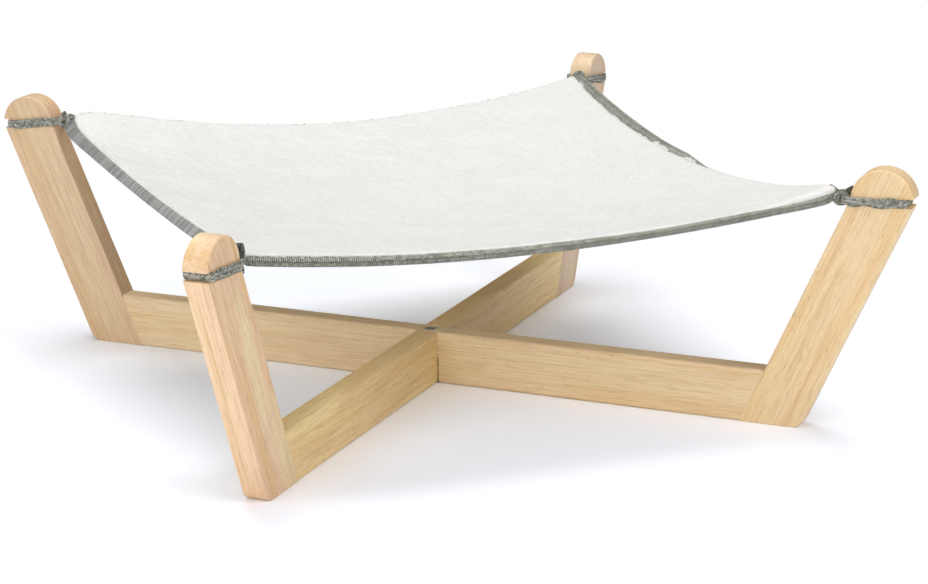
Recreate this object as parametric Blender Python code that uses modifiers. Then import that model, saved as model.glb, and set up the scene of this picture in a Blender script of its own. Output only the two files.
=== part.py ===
"""Cat hammock: two crossed wooden rails with four leaning legs, and a square sling tied to their tops.

+X runs to the right along the front edge of the sling, +Y to the back, +Z up.
The origin is on the floor, under the crossing of the two rails.
Each leg stands on an arm, a frame turned about Z whose +X runs outwards along the rail.
"""
import math

import bmesh
import bpy
from mathutils import Matrix, Vector

MM = 0.001

# Wooden frame
FOOT_REACH = 290.0 * MM             # from the centre to the outer bottom corner of a leg, before rounding
BOARD_THICKNESS = 18.0 * MM
RAIL_HEIGHT = 40.0 * MM
LEG_WIDTH = 41.0 * MM               # across the broad face, square to the leg
LEG_LEAN = math.radians(23.65)      # outwards from the vertical
FOOT_CORNER_RADIUS = 10.0 * MM
ARRIS_RADIUS = 2.5 * MM
SLOT_HEIGHT_ABOVE_FLOOR = 171.0 * MM    # to the middle of the saw slot in a leg's outer edge
SLOT_WIDTH = 6.6 * MM
SLOT_DEPTH = 7.0 * MM

# Joints and fasteners
CLEARANCE = 0.3 * MM                # between pieces that touch
LAP_LOOSENESS = 1.0 * MM            # on each side of the lower rail, in the notch of the upper one
DOWEL_RADIUS = 4.0 * MM
DOWEL_LENGTH = 30.0 * MM
DOWEL_SPACING = 20.0 * MM
DOWEL_CHAMFER = 0.8 * MM
BOLT_RADIUS = 3.0 * MM
BOLT_HEAD_RADIUS = 5.0 * MM
BOLT_HEAD_HEIGHT = 6.0 * MM
BOLT_HEAD_ROUND = 0.5 * MM
BOLT_POINT = 1.0 * MM               # how far the bolt passes the insert
SOCKET_RADIUS = 2.9 * MM            # across the corners of the hexagon
SOCKET_DEPTH = 3.0 * MM
COUNTERBORE_PLAY = 0.6 * MM         # around the bolt's head
INSERT_RADIUS = 4.2 * MM
INSERT_RIDGE = 0.5 * MM
INSERT_LENGTH = 12.0 * MM
INSERT_RIDGES = 5

# Sling
EDGE_SAG = 17.5 * MM                # of each edge's middle below the corners
BELLY = 12.0 * MM                   # further drop of the middle of the cloth
EDGE_BOW = 7.0 * MM                 # how far the middle of each edge is drawn inwards
ROLL_DROP = 3.5 * MM                # how far each edge rolls down
ROLL_WIDTH = 18.0 * MM
ROLL_FREE_CORNER = 20.0 * MM        # no roll this near to a corner
ROLL_FULL_FROM = 140.0 * MM         # full roll from this distance to a corner
CANVAS_THICKNESS = 1.0 * MM
FLEECE_THICKNESS = 4.5 * MM
FLEECE_PRESSED = 1.6 * MM           # under the binding
BINDING_THICKNESS = 1.2 * MM
BINDING_WIDTH = 9.0 * MM
SLING_INNER_CELLS = 14

# Corner ties
TIE_THICKNESS = 2.0 * MM
KNOT_STRAND = 3.0 * MM              # diameter of the tape where it is knotted
KNOT_RADIUS = 2.0 * MM              # of the strands' centres round the knot's axis
KNOT_PITCH = 11.0 * MM              # of one strand's turn round the knot's axis
KNOT_STANDOFF = 3.6 * MM            # from the leg to the knot
KNOT_RISE = 4.0 * MM                # of the knot above the slot
KNOT_LEAD = 1.2 * MM                # from the knot to the sling's corner
TAIL_TURN = 0.5                     # turns that the strand with the cut end makes
END_TURN = 0.75                     # turns that the strand to the sling's corner makes
TAIL_HEIGHT = 8.5 * MM              # of the cut end above the knot's axis
TAIL_LEAN = 0.8 * MM                # of the standing tail, away from the leg
TIE_TURN = math.radians(60.0)       # how far the tape turns round the leg's inner corners
LEAST_TIE_GAP = 0.4 * MM

ARMS = {"front_right": -45.0, "back_right": 45.0, "back_left": 135.0, "front_left": 225.0}
LOWER_RAIL_ARMS = ("back_right", "front_left")
UPPER_RAIL_ARMS = ("front_right", "back_left")
EDGES = {"front": 0.0, "right": 90.0, "back": 180.0, "left": 270.0}

# Facets
DOME_STEPS = 18
CORNER_STEPS = 5
ARRIS_SEGMENTS = 2
DOWEL_SIDES = 14
TURNED_STEPS = 24
HEXAGON_SIDES = 6
KNOT_STEPS = 12                     # in one turn of a knotted strand
TIE_STEPS = 3                       # in each bend and each straight of the tape round the leg
TIE_ROUNDING = 0.3                  # of the tape's corners, as a share of its thickness
NOSE_FACETS = 5                     # over the height of the binding's fold
NOSE_SHOULDER = 0.6                 # reach of the fold's shoulders, as a share of its full reach
GAP_SAMPLES = 4                     # between two points of the tape, where its gap is measured
NEIGHBOUR_LENGTH = 2.5 * KNOT_STRAND    # of tape, within which two places count as neighbours
SURFACE_STEP = 0.5 * MM             # over which the sling's slope is measured
FLAT_ANGLE = math.radians(6)        # below this a line on a face is no edge
SHARP_ANGLE = math.radians(35)
CUTTER_MARGIN = 5.0 * MM
CURVE_WELD = 0.01 * MM

# Places that follow from the sizes
LEG_RUN = LEG_WIDTH / math.cos(LEG_LEAN)        # the leg's width, measured level
LEG_SLOPE = math.tan(LEG_LEAN)
SLOT_FLOOR = FOOT_REACH + SLOT_HEIGHT_ABOVE_FLOOR * LEG_SLOPE - SLOT_DEPTH
TIE_WIDTH = SLOT_WIDTH - 2 * CLEARANCE
KNOT_LEVEL = SLOT_HEIGHT_ABOVE_FLOOR + KNOT_RISE
TIE_LOWEST = KNOT_LEVEL - TIE_WIDTH / 2
TIE_STANDOFF = CLEARANCE + TIE_THICKNESS / 2
LEG_INNER_AT_TIE = FOOT_REACH - LEG_RUN + min(TIE_LOWEST, SLOT_HEIGHT_ABOVE_FLOOR) * LEG_SLOPE
KNOT_START = LEG_INNER_AT_TIE - KNOT_STANDOFF
KNOT_END = KNOT_START - KNOT_PITCH * END_TURN
NOSE_REACH = CLEARANCE + BINDING_THICKNESS
MITRE = CLEARANCE
FLEECE_BASE = CANVAS_THICKNESS + CLEARANCE
FLAP_BOTTOM = FLEECE_BASE + FLEECE_PRESSED + CLEARANCE
FLAP_TOP = FLAP_BOTTOM + BINDING_THICKNESS
HEM_BOTTOM = -CLEARANCE - BINDING_THICKNESS
SLING_TIP = KNOT_END - KNOT_LEAD - CLEARANCE
SLING_HALF = SLING_TIP / math.sqrt(2) - NOSE_REACH + MITRE / 2
SLING_CORNER_Z = KNOT_LEVEL - (FLAP_TOP + HEM_BOTTOM) / 2
LAP_PLANE = RAIL_HEIGHT / 2
BOLT_TOP = RAIL_HEIGHT - CLEARANCE
INSERT_TOP = LAP_PLANE - CLEARANCE
INSERT_BOTTOM = INSERT_TOP - INSERT_LENGTH
BOLT_BOTTOM = INSERT_BOTTOM - BOLT_POINT


def clear_scene():
    for old in list(bpy.data.objects):
        bpy.data.objects.remove(old, do_unlink=True)


def new_collection(name):
    collection = bpy.data.collections.new(name)
    bpy.context.scene.collection.children.link(collection)
    return collection


def new_material(name, colour, roughness, metallic=0.0):
    material = bpy.data.materials.new(name)
    material.use_nodes = True
    shader = material.node_tree.nodes["Principled BSDF"]
    shader.inputs["Base Color"].default_value = (*colour, 1.0)
    shader.inputs["Roughness"].default_value = roughness
    shader.inputs["Metallic"].default_value = metallic
    material.diffuse_color = (*colour, 1.0)
    return material


def new_object(name, mesh, collection, material=None, parent=None):
    made = bpy.data.objects.new(name, mesh)
    collection.objects.link(made)
    if material:
        mesh.materials.clear()
        mesh.materials.append(material)
    made.parent = parent
    return made


def make_cutter(made):
    made.hide_render = True
    made.display_type = "WIRE"
    return made


def mesh_from_bmesh(name, work):
    mesh = bpy.data.meshes.new(name)
    work.to_mesh(mesh)
    work.free()
    return mesh


def box_mesh(name, low, high):
    """A box between two corners."""
    work = bmesh.new()
    bmesh.ops.create_cube(work, size=1.0)
    low, high = Vector(low), Vector(high)
    size = high - low
    bmesh.ops.scale(work, vec=size, verts=work.verts)
    bmesh.ops.translate(work, vec=(low + high) / 2, verts=work.verts)
    return mesh_from_bmesh(name, work)


def rod_mesh(name, radius, low, high, sides, along_x=False):
    """A round or many-sided rod on the Z axis, or on the X axis."""
    work = bmesh.new()
    bmesh.ops.create_cone(
        work, cap_ends=True, segments=sides, radius1=radius, radius2=radius, depth=high - low)
    bmesh.ops.translate(work, vec=(0, 0, (low + high) / 2), verts=work.verts)
    if along_x:
        lying = Matrix.Rotation(math.pi / 2, 3, "Y")
        bmesh.ops.rotate(work, cent=(0, 0, 0), matrix=lying, verts=work.verts)
    return mesh_from_bmesh(name, work)


def board_mesh(name, outline):
    """A board whose broad face is an outline in the XZ plane, centred on that plane."""
    curve = bpy.data.curves.new(name, "CURVE")
    curve.dimensions = "2D"
    curve.fill_mode = "BOTH"
    curve.extrude = BOARD_THICKNESS / 2
    spline = curve.splines.new("POLY")
    spline.points.add(len(outline) - 1)
    for point, (x, z) in zip(spline.points, outline):
        point.co = (x, z, 0, 1)
    spline.use_cyclic_u = True
    sketch = bpy.data.objects.new(name, curve)
    bpy.context.scene.collection.objects.link(sketch)
    sketch.rotation_euler = (math.pi / 2, 0, 0)
    bpy.context.view_layer.update()
    evaluated = sketch.evaluated_get(bpy.context.evaluated_depsgraph_get())
    mesh = bpy.data.meshes.new_from_object(evaluated)
    mesh.transform(sketch.matrix_world)
    work = bmesh.new()
    work.from_mesh(mesh)
    bmesh.ops.remove_doubles(work, verts=work.verts, dist=CURVE_WELD)
    on_face = [e for e in work.edges if e.verts[0].co.y * e.verts[1].co.y > 0]
    fill_lines = [e for e in on_face if e.calc_face_angle() < FLAT_ANGLE]
    bmesh.ops.dissolve_edges(work, edges=fill_lines, use_verts=False)
    bmesh.ops.recalc_face_normals(work, faces=work.faces)
    work.to_mesh(mesh)
    work.free()
    bpy.data.objects.remove(sketch)
    return mesh


def mark_arrises(mesh, is_glued):
    """Gives bevel weight to the edges of both broad faces, except where a board is glued on."""
    weights = mesh.attributes.new("bevel_weight_edge", "FLOAT", "EDGE")
    for edge in mesh.edges:
        first, second = (mesh.vertices[i].co for i in edge.vertices)
        on_face = first.y * second.y > 0
        weights.data[edge.index].value = float(on_face and not is_glued(first, second))


def fillet(before, corner, after, radius, steps):
    """The points of an arc that rounds a corner of an outline."""
    before, corner, after = Vector(before), Vector(corner), Vector(after)
    inwards = (before - corner).normalized()
    outwards = (after - corner).normalized()
    half = inwards.angle(outwards) / 2
    centre = corner + (inwards + outwards).normalized() * radius / math.sin(half)
    start = corner + inwards * radius / math.tan(half) - centre
    end = corner + outwards * radius / math.tan(half) - centre
    sweep = start.angle_signed(end)
    return [tuple(centre + Matrix.Rotation(-sweep * i / steps, 2) @ start) for i in range(steps + 1)]


def leg_outline():
    inner_foot = FOOT_REACH - LEG_RUN
    shoulder = SLOT_HEIGHT_ABOVE_FLOOR
    dome_radius = LEG_RUN / 2
    dome_centre = FOOT_REACH - dome_radius + shoulder * LEG_SLOPE
    outline = [(inner_foot, 0.0)]
    outline += fillet(
        (inner_foot, 0.0),
        (FOOT_REACH, 0.0),
        (FOOT_REACH + shoulder * LEG_SLOPE, shoulder),
        FOOT_CORNER_RADIUS,
        CORNER_STEPS)
    for i in range(DOME_STEPS + 1):
        angle = math.pi * i / DOME_STEPS
        outline.append((
            dome_centre + dome_radius * math.cos(angle),
            shoulder + dome_radius * math.sin(angle)))
    outline.append((inner_foot + RAIL_HEIGHT * LEG_SLOPE, RAIL_HEIGHT))
    return outline


def add_boolean(target, cutter):
    cut = target.modifiers.new(cutter.name, "BOOLEAN")
    cut.operation = "DIFFERENCE"
    cut.solver = "EXACT"
    cut.object = cutter


def add_arris_bevel(target):
    bevel = target.modifiers.new("rounded arrises", "BEVEL")
    bevel.limit_method = "WEIGHT"
    bevel.width = ARRIS_RADIUS
    bevel.segments = ARRIS_SEGMENTS


def make_legs(arms, cutters, parts, wood):
    """Four leaning legs with a rounded top and a saw slot for the tie."""
    mesh = board_mesh("leg", leg_outline())
    inner_foot = FOOT_REACH - LEG_RUN

    def on_joint(first, second):
        middle = (first + second) / 2
        inner = inner_foot + middle.z * LEG_SLOPE
        return middle.z < RAIL_HEIGHT and middle.x < inner + CLEARANCE

    mark_arrises(mesh, on_joint)
    slot = box_mesh(
        "slot",
        (SLOT_FLOOR, -BOARD_THICKNESS, SLOT_HEIGHT_ABOVE_FLOOR - SLOT_WIDTH / 2),
        (SLOT_FLOOR + SLOT_DEPTH + LEG_RUN / 2, BOARD_THICKNESS, SLOT_HEIGHT_ABOVE_FLOOR + SLOT_WIDTH / 2))
    legs = {}
    for name, arm in arms.items():
        leg = new_object("leg_" + name, mesh, parts, wood, arm)
        add_arris_bevel(leg)
        add_boolean(leg, make_cutter(new_object("slot_cutter_" + name, slot, cutters, None, arm)))
        legs[name] = leg
    return legs


def make_rail(name, arm, wood, parts):
    """A rail between two legs, its ends cut to the legs' lean."""
    low_end = FOOT_REACH - LEG_RUN - CLEARANCE
    high_end = low_end + RAIL_HEIGHT * LEG_SLOPE
    outline = [(-low_end, 0.0), (low_end, 0.0), (high_end, RAIL_HEIGHT), (-high_end, RAIL_HEIGHT)]
    mesh = board_mesh(name, outline)

    def on_joint(first, second):
        return abs(first.z - second.z) > RAIL_HEIGHT / 2

    mark_arrises(mesh, on_joint)
    rail = new_object(name, mesh, parts, wood, arm)
    add_arris_bevel(rail)
    return rail


def cut_lap(rail, arm, low, high, half_width, cutters):
    notch = box_mesh("lap", (-half_width, -BOARD_THICKNESS, low), (half_width, BOARD_THICKNESS, high))
    add_boolean(rail, make_cutter(new_object("lap_cutter_" + rail.name, notch, cutters, None, arm)))


def make_dowels(arms, legs, rails_of_arms, cutters, parts, material):
    """Two level dowels in each glued joint, with the holes that take them."""
    half = DOWEL_LENGTH / 2
    dowel = rod_mesh("dowel", DOWEL_RADIUS, -half, half, DOWEL_SIDES, along_x=True)
    room = half + CLEARANCE
    hole = rod_mesh("dowel_hole", DOWEL_RADIUS + CLEARANCE, -room, room, DOWEL_SIDES, along_x=True)
    for name, arm in arms.items():
        for level, side in (("low", -1), ("high", 1)):
            z = RAIL_HEIGHT / 2 + side * DOWEL_SPACING / 2
            place = (FOOT_REACH - LEG_RUN - CLEARANCE / 2 + z * LEG_SLOPE, 0.0, z)
            peg = new_object(f"dowel_{name}_{level}", dowel, parts, material, arm)
            peg.location = place
            chamfer = peg.modifiers.new("chamfered ends", "BEVEL")
            chamfer.width = DOWEL_CHAMFER
            chamfer.segments = 1
            cutter = make_cutter(new_object(f"dowel_cutter_{name}_{level}", hole, cutters, None, arm))
            cutter.location = place
            add_boolean(legs[name], cutter)
            add_boolean(rails_of_arms[name], cutter)


def turned_object(name, profile, closed, collection, material=None):
    """A profile in the XZ plane, turned about Z."""
    work = bmesh.new()
    points = [work.verts.new((x, 0.0, z)) for x, z in profile]
    for first, second in zip(points, points[1:]):
        work.edges.new((first, second))
    if closed:
        work.edges.new((points[-1], points[0]))
    made = new_object(name, mesh_from_bmesh(name, work), collection, material)
    screw = made.modifiers.new("turned", "SCREW")
    screw.axis = "Z"
    screw.steps = TURNED_STEPS
    screw.render_steps = TURNED_STEPS
    screw.use_merge_vertices = True
    screw.merge_threshold = CURVE_WELD
    screw.use_normal_calculate = False
    return made


def make_bolt(rails, cutters, parts, steel, brass):
    """The bolt that holds the two rails, and the threaded insert in the lower one."""
    upper, lower = rails
    head_bottom = BOLT_TOP - BOLT_HEAD_HEIGHT
    bolt = turned_object(
        "centre_bolt",
        [
            (0.0, BOLT_TOP),
            (BOLT_HEAD_RADIUS - BOLT_HEAD_ROUND, BOLT_TOP),
            (BOLT_HEAD_RADIUS, BOLT_TOP - BOLT_HEAD_ROUND),
            (BOLT_HEAD_RADIUS, head_bottom),
            (BOLT_RADIUS, head_bottom),
            (BOLT_RADIUS, BOLT_BOTTOM + BOLT_HEAD_ROUND),
            (BOLT_RADIUS - BOLT_HEAD_ROUND, BOLT_BOTTOM),
            (0.0, BOLT_BOTTOM),
        ],
        False,
        parts,
        steel)
    socket = rod_mesh(
        "socket", SOCKET_RADIUS, BOLT_TOP - SOCKET_DEPTH, BOLT_TOP + CUTTER_MARGIN, HEXAGON_SIDES)
    add_boolean(bolt, make_cutter(new_object("socket_cutter", socket, cutters)))

    bore = BOLT_RADIUS + CLEARANCE
    step = INSERT_LENGTH / INSERT_RIDGES
    profile = []
    for i in range(INSERT_RIDGES):
        top = INSERT_TOP - i * step
        profile += [(INSERT_RADIUS, top), (INSERT_RADIUS + INSERT_RIDGE, top - step / 2)]
    profile += [(INSERT_RADIUS, INSERT_BOTTOM), (bore, INSERT_BOTTOM), (bore, INSERT_TOP)]
    turned_object("threaded_insert", profile, True, parts, brass)

    recess = BOLT_HEAD_RADIUS + COUNTERBORE_PLAY
    insert_hole = INSERT_RADIUS + INSERT_RIDGE + CLEARANCE
    drillings = (
        ("counterbore", upper, recess, head_bottom - CLEARANCE, RAIL_HEIGHT + CUTTER_MARGIN),
        ("bolt_hole", upper, bore, LAP_PLANE - CUTTER_MARGIN, RAIL_HEIGHT),
        ("insert_hole", lower, insert_hole, INSERT_BOTTOM - CLEARANCE, RAIL_HEIGHT),
        ("bolt_point_hole", lower, bore, BOLT_BOTTOM - CLEARANCE, RAIL_HEIGHT),
    )
    for name, rail, radius, low, high in drillings:
        drill = rod_mesh(name, radius, low, high, TURNED_STEPS)
        add_boolean(rail, make_cutter(new_object(name + "_cutter", drill, cutters)))


def ease(value):
    """A smooth step from 0 to 1."""
    value = min(max(value, 0.0), 1.0)
    return value * value * (3 - 2 * value)


def sling_point(x, y):
    """The sling's underside. x and y run from -SLING_HALF to SLING_HALF over the flat square."""
    u, v = x / SLING_HALF, y / SLING_HALF
    across, along = 1 - u * u, 1 - v * v
    z = SLING_CORNER_Z - EDGE_SAG * (across + along) - BELLY * across * along
    for place, other in ((x, y), (y, x)):
        near_edge = max(0.0, 1 - (SLING_HALF - abs(place)) / ROLL_WIDTH)
        past_corner = SLING_HALF - abs(other) - ROLL_FREE_CORNER
        z -= ROLL_DROP * near_edge ** 2 * ease(past_corner / (ROLL_FULL_FROM - ROLL_FREE_CORNER))
    return Vector((x - u * EDGE_BOW * along, y - v * EDGE_BOW * across, z))


def sling_offset(x, y, height):
    """A point at a height above the underside, square to the cloth."""
    run_x = sling_point(x + SURFACE_STEP, y) - sling_point(x - SURFACE_STEP, y)
    run_y = sling_point(x, y + SURFACE_STEP) - sling_point(x, y - SURFACE_STEP)
    return sling_point(x, y) + run_x.cross(run_y).normalized() * height


def sling_lines():
    """Where the lines of the cloth's grid lie, close together at the edges."""
    past_binding = BINDING_WIDTH + 2 * CLEARANCE
    edge = [0.0, BINDING_WIDTH / 2, past_binding, (BINDING_WIDTH + ROLL_WIDTH) / 2, ROLL_WIDTH]
    inner = SLING_HALF - edge[-1]
    middle = [inner * (2 * i / SLING_INNER_CELLS - 1) for i in range(1, SLING_INNER_CELLS)]
    low = [d - SLING_HALF for d in edge]
    return low + middle + [-x for x in reversed(low)]


def make_sheet(name, base, thickness, pressed, material, parts):
    """One layer of the sling: a grid on the cloth's surface, thickened upwards."""
    lines = sling_lines()
    cells = len(lines) - 1
    work = bmesh.new()
    bmesh.ops.create_grid(work, x_segments=cells, y_segments=cells, size=1.0)
    full = []
    for vertex in work.verts:
        x, y = (lines[round((c + 1) / 2 * cells)] for c in vertex.co[:2])
        from_edge = SLING_HALF - max(abs(x), abs(y))
        full.append(from_edge > BINDING_WIDTH + 3 * CLEARANCE)
        vertex.co = sling_offset(x, y, base)
    sheet = new_object(name, mesh_from_bmesh(name, work), parts, material)
    group = sheet.vertex_groups.new(name="full thickness")
    group.add([i for i, is_full in enumerate(full) if is_full], 1.0, "REPLACE")
    solid = sheet.modifiers.new("cloth", "SOLIDIFY")
    solid.thickness = thickness
    solid.offset = 1.0
    solid.vertex_group = group.name
    solid.thickness_vertex_group = pressed / thickness
    return sheet


def loft_mesh(name, rings):
    """A closed skin over rings of points, with a face at both ends."""
    work = bmesh.new()
    rows = [[work.verts.new(point) for point in ring] for ring in rings]
    for row, following in zip(rows, rows[1:]):
        for i, corner in enumerate(row):
            j = (i + 1) % len(row)
            work.faces.new((corner, row[j], following[j], following[i]))
    work.faces.new(reversed(rows[0]))
    work.faces.new(rows[-1])
    bmesh.ops.recalc_face_normals(work, faces=work.faces)
    return mesh_from_bmesh(name, work)


def binding_profile():
    """The folded tape's section: distance in from the cloth's edge, and height above its underside."""
    half_way = BINDING_WIDTH / 2
    shoulder = NOSE_REACH * NOSE_SHOULDER
    rise = (FLAP_TOP - HEM_BOTTOM) / NOSE_FACETS
    outside = [
        (BINDING_WIDTH, FLAP_TOP), (half_way, FLAP_TOP), (0.0, FLAP_TOP),
        (-shoulder, FLAP_TOP - rise / 2), (-NOSE_REACH, FLAP_TOP - 2 * rise),
        (-NOSE_REACH, HEM_BOTTOM + 2 * rise), (-shoulder, HEM_BOTTOM + rise / 2),
        (0.0, HEM_BOTTOM), (half_way, HEM_BOTTOM), (BINDING_WIDTH, HEM_BOTTOM)]
    inside = [
        (BINDING_WIDTH, -CLEARANCE), (half_way, -CLEARANCE), (-CLEARANCE, -CLEARANCE),
        (-CLEARANCE, FLAP_BOTTOM), (half_way, FLAP_BOTTOM), (BINDING_WIDTH, FLAP_BOTTOM)]
    return outside + inside


def make_bindings(material, parts):
    """Four folded tapes round the edges of the sling, mitred where they meet."""
    profile = binding_profile()
    stations = [x for x in sling_lines() if SLING_HALF - abs(x) > BINDING_WIDTH + MITRE]
    rings = [[sling_offset(d + MITRE - SLING_HALF, d - SLING_HALF, h) for d, h in profile]]
    rings += [[sling_offset(x, d - SLING_HALF, h) for d, h in profile] for x in stations]
    rings += [[sling_offset(SLING_HALF - d - MITRE, d - SLING_HALF, h) for d, h in profile]]
    mesh = loft_mesh("edge_binding", rings)
    for name, turn in EDGES.items():
        binding = new_object("edge_binding_" + name, mesh, parts, material)
        binding.rotation_euler.z = math.radians(turn)


def tie_side():
    """Half of the tape's way round the leg: from the slot's middle, round one broad face, to the knot."""
    half_board = BOARD_THICKNESS / 2
    points = [(SLOT_FLOOR + TIE_STANDOFF, half_board / 2)]
    for i in range(TIE_STEPS + 1):
        angle = math.pi / 2 * i / TIE_STEPS
        points.append((
            SLOT_FLOOR + TIE_STANDOFF * math.cos(angle),
            half_board + TIE_STANDOFF * math.sin(angle)))
    run = SLOT_FLOOR - LEG_INNER_AT_TIE
    points += [(SLOT_FLOOR - run * i / TIE_STEPS, half_board + TIE_STANDOFF) for i in range(1, TIE_STEPS)]
    for i in range(TIE_STEPS + 1):
        angle = TIE_TURN * i / TIE_STEPS
        points.append((
            LEG_INNER_AT_TIE - TIE_STANDOFF * math.sin(angle),
            half_board + TIE_STANDOFF * math.cos(angle)))
    bend = (KNOT_START + KNOT_STRAND / 4, KNOT_RADIUS + KNOT_STRAND / 2)
    halfway = Vector(points[-1]).lerp(Vector(bend), 0.5)
    points += [tuple(halfway), bend, (KNOT_START, KNOT_RADIUS)]
    return points


def tie_route():
    """The whole tape: cut tail, knot, round the leg in its slot, knot, and the end at the sling's corner.

    Each point has the tape's width and thickness there.
    """
    flat = (TIE_WIDTH, TIE_THICKNESS)
    wound = (KNOT_STRAND, KNOT_STRAND)

    def level(s):
        """The tape climbs from the slot to the knot."""
        share = (SLOT_FLOOR - s) / (SLOT_FLOOR - LEG_INNER_AT_TIE)
        return SLOT_HEIGHT_ABOVE_FLOOR + KNOT_RISE * ease(share)

    def knot_strand(start_angle, turns):
        """A strand that winds round the knot's axis, away from the leg."""
        strand = []
        steps = round(KNOT_STEPS * turns)
        for i in range(1, steps + 1):
            turned = turns * i / steps
            angle = start_angle + math.tau * turned
            across, up = KNOT_RADIUS * math.cos(angle), -KNOT_RADIUS * math.sin(angle)
            strand.append((Vector((KNOT_START - KNOT_PITCH * turned, across, KNOT_LEVEL + up)), wound))
        return strand

    side = tie_side()
    narrow_from = len(side) - 3
    sized = [(s, n, wound if i >= narrow_from else flat) for i, (s, n) in enumerate(side)]
    there = [(Vector((s, n, level(s))), size) for s, n, size in sized]
    back = [(Vector((s, -n, level(s))), size) for s, n, size in sized]

    inner = knot_strand(0.0, TAIL_TURN)
    foot = inner[-1][0]
    climb = KNOT_LEVEL + TAIL_HEIGHT - foot.z
    tail = [
        (foot + Vector((-TAIL_LEAN, 0.0, climb / 3)), wound),
        (foot + Vector((-TAIL_LEAN, 0.0, climb * 2 / 3)), flat),
        (foot + Vector((0.0, 0.0, climb)), flat)]
    outer = knot_strand(math.pi, END_TURN)
    lowest = outer.pop()[0]
    end = [
        (Vector((lowest.x, lowest.y, KNOT_LEVEL - KNOT_RADIUS / 2)), wound),
        (Vector((KNOT_END - KNOT_LEAD / 2, 0.0, KNOT_LEVEL)), wound),
        (Vector((KNOT_END - KNOT_LEAD, 0.0, KNOT_LEVEL)), wound)]
    return list(reversed(there + inner + tail)) + back + outer + end


def tie_rings(route):
    """Sections square to the route, carried along it without twisting."""
    points = [point for point, _ in route]
    sizes = [size for _, size in route]
    last = len(points) - 1
    tangents = [(points[min(i + 1, last)] - points[max(i - 1, 0)]).normalized() for i in range(last + 1)]
    middle = max(range(last + 1), key=lambda i: points[i].x)
    ups = [None] * (last + 1)
    ups[middle] = Vector((0, 0, 1))
    for order in (range(middle + 1, last + 1), range(middle - 1, -1, -1)):
        step = 1 if order.step > 0 else -1
        for i in order:
            turn = tangents[i - step].rotation_difference(tangents[i])
            carried = turn @ ups[i - step]
            ups[i] = (carried - tangents[i] * carried.dot(tangents[i])).normalized()
    rings = []
    for point, (width, thickness), tangent, up in zip(points, sizes, tangents, ups):
        side = tangent.cross(up)
        cut = thickness * TIE_ROUNDING
        tall, deep = width / 2, thickness / 2
        section = [
            (tall, deep - cut), (tall - cut, deep), (cut - tall, deep), (-tall, deep - cut),
            (-tall, cut - deep), (cut - tall, -deep), (tall - cut, -deep), (tall, cut - deep)]
        rings.append([point + up * a + side * b for a, b in section])
    return rings


def least_gap(route):
    """The smallest room between two stretches of the knotted tape that are not neighbours."""
    fine = []
    for (first, size), (second, _) in zip(route, route[1:]):
        fine += [(first.lerp(second, k / GAP_SAMPLES), size[1]) for k in range(GAP_SAMPLES)]
    lengths = [0.0]
    for (first, _), (second, _) in zip(fine, fine[1:]):
        lengths.append(lengths[-1] + (second - first).length)
    least = math.inf
    for i, (first, size) in enumerate(fine):
        for j in range(i + 1, len(fine)):
            if lengths[j] - lengths[i] > NEIGHBOUR_LENGTH:
                second, other = fine[j]
                least = min(least, (second - first).length - (size + other) / 2)
    return least


def make_ties(arms, material, parts):
    """One knotted tape at each leg."""
    route = tie_route()
    mesh = loft_mesh("corner_tie", tie_rings(route))
    for name, arm in arms.items():
        new_object("corner_tie_" + name, mesh, parts, material, arm)
    gap = least_gap(route)
    print(f"corner tie: least gap to itself {gap / MM:.2f} mm, wanted over {LEAST_TIE_GAP / MM:.1f} mm")


def make_arms(parts):
    arms = {}
    for name, turn in ARMS.items():
        arm = bpy.data.objects.new("arm_" + name, None)
        parts.objects.link(arm)
        arm.rotation_euler.z = math.radians(turn)
        arms[name] = arm
    return arms


def shade_round():
    """Smooth shading on the curved faces, with the true corners kept sharp."""
    for mesh in bpy.data.meshes:
        mesh.shade_smooth()
        mesh.set_sharp_from_angle(angle=SHARP_ANGLE)


def main():
    clear_scene()
    parts = new_collection("cat_hammock")
    cutters = new_collection("cutters")
    wood = new_material("pale_wood", (0.77, 0.57, 0.34), 0.5)
    dowel_wood = new_material("dowel_wood", (0.66, 0.47, 0.27), 0.6)
    steel = new_material("bright_steel", (0.62, 0.62, 0.62), 0.3, 1.0)
    brass = new_material("yellow_brass", (0.71, 0.53, 0.22), 0.4, 1.0)
    fleece = new_material("white_fleece", (0.85, 0.85, 0.82), 0.95)
    canvas = new_material("pale_canvas", (0.68, 0.66, 0.6), 0.9)
    tape = new_material("grey_tape", (0.26, 0.27, 0.23), 0.85)

    arms = make_arms(parts)
    legs = make_legs(arms, cutters, parts, wood)
    lower = make_rail("rail_lower", arms[LOWER_RAIL_ARMS[0]], wood, parts)
    upper = make_rail("rail_upper", arms[UPPER_RAIL_ARMS[0]], wood, parts)
    lap_half = BOARD_THICKNESS / 2
    above = RAIL_HEIGHT + CUTTER_MARGIN
    cut_lap(lower, lower.parent, LAP_PLANE - CLEARANCE / 2, above, lap_half + CLEARANCE, cutters)
    below = -CUTTER_MARGIN
    cut_lap(upper, upper.parent, below, LAP_PLANE + CLEARANCE / 2, lap_half + LAP_LOOSENESS, cutters)
    rails_of_arms = {name: lower for name in LOWER_RAIL_ARMS}
    rails_of_arms |= {name: upper for name in UPPER_RAIL_ARMS}
    make_dowels(arms, legs, rails_of_arms, cutters, parts, dowel_wood)
    make_bolt((upper, lower), cutters, parts, steel, brass)

    make_sheet("canvas_underside", 0.0, CANVAS_THICKNESS, CANVAS_THICKNESS, canvas, parts)
    make_sheet("fleece_top", FLEECE_BASE, FLEECE_THICKNESS, FLEECE_PRESSED, fleece, parts)
    make_bindings(tape, parts)
    make_ties(arms, tape, parts)
    shade_round()


main()
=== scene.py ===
"""Looks of the cat hammock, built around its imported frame.

Metres, in the frame's axes: +X runs to the right along the front edge of the sling, +Y to the back, +Z up.
Each leg stands on an arm, a frame turned about Z whose +X runs outwards along the rail.
"""
import math

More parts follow.
